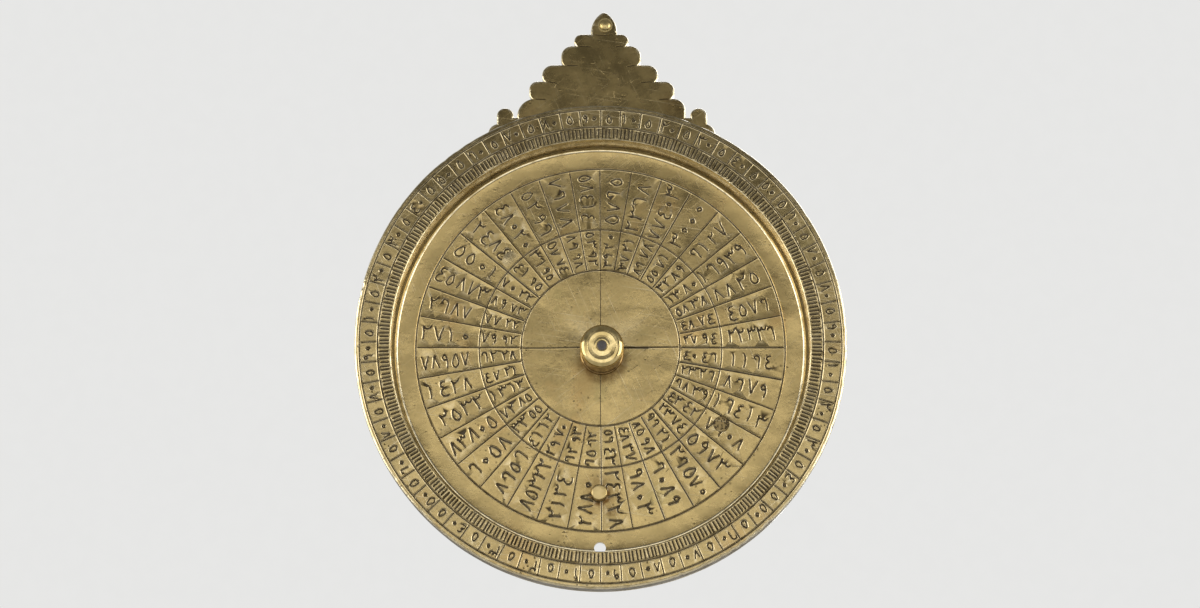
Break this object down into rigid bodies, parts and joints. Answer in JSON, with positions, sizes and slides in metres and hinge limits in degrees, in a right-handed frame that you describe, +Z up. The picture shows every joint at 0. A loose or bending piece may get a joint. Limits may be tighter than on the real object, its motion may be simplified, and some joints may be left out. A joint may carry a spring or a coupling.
{
  "type": "astrolabe",
  "caption": "Brass planispheric astrolabe body: round mater with raised limb, lobed stepped throne, plate peg, centre pin, rear alidade with sighting vanes and suspension ring.",
  "frame": {"origin": "centre of the disc, on the front face of the womb's floor", "axes": "+X to the right of someone facing the front, +Y from front to back, +Z up to the throne"},
  "size_m": [0.15, 0.0307, 0.1831],
  "materials": {
    "mater_brass": "aged, satin, fine scratches",
    "limb_brass": "aged, satin, worn bright at the edges",
    "rivet_brass": "satin",
    "plug_brass": "mottled, dull",
    "turned_brass": "polished",
    "pin_iron": "dark, filed",
    "alidade_brass": "aged, satin",
    "suspension_brass": "handled, satin"
  },
  "bodies": {
    "mater": {"mater_plate": "mater_brass", "limb_ring": "limb_brass", "limb_rivets": "rivet_brass", "plate_peg": "turned_brass", "floor_plug": "plug_brass", "throne_pin": "turned_brass", "throne_pin_front_rove": "rivet_brass", "throne_pin_rear_rove": "rivet_brass"},
    "alidade": {"alidade_bar": "alidade_brass", "left_vane": "alidade_brass", "right_vane": "alidade_brass", "left_vane_rivets": "rivet_brass", "right_vane_rivets": "rivet_brass"},
    "pivot": {"pivot_pin": "pin_iron", "pivot_sleeve": "turned_brass", "pivot_knob": "turned_brass", "pivot_washer": "turned_brass"},
    "wedge": {"pivot_wedge": "suspension_brass"},
    "shackle": {"shackle": "suspension_brass"},
    "ring": {"suspension_ring": "suspension_brass"}
  },
  "joints": [
    {"name": "alidade_turn", "type": "hinge", "parent": "mater", "child": "alidade", "pos_m": [0.0004, 0.0035, -0.00185], "axis": [0, 1, 0], "continuous": true},
    {"name": "pivot_turn", "type": "hinge", "parent": "mater", "child": "pivot", "pos_m": [0.0004, 0, -0.00185], "axis": [0, 1, 0], "continuous": true},
    {"name": "wedge_slide", "type": "slide", "parent": "pivot", "child": "wedge", "axis": [1, 0, 0], "range_m": [0, 0.011]},
    {"name": "shackle_swivel", "type": "hinge", "parent": "mater", "child": "shackle", "pos_m": [0.0015, 0.0032, 0.10385], "axis": [0, 1, 0], "continuous": true},
    {"name": "ring_swing", "type": "hinge", "parent": "shackle", "child": "ring", "pos_m": [0.0015, 0.0052, 0.09885], "axis": [1, 0, 0], "range_deg": [0, 180]}
  ]
}
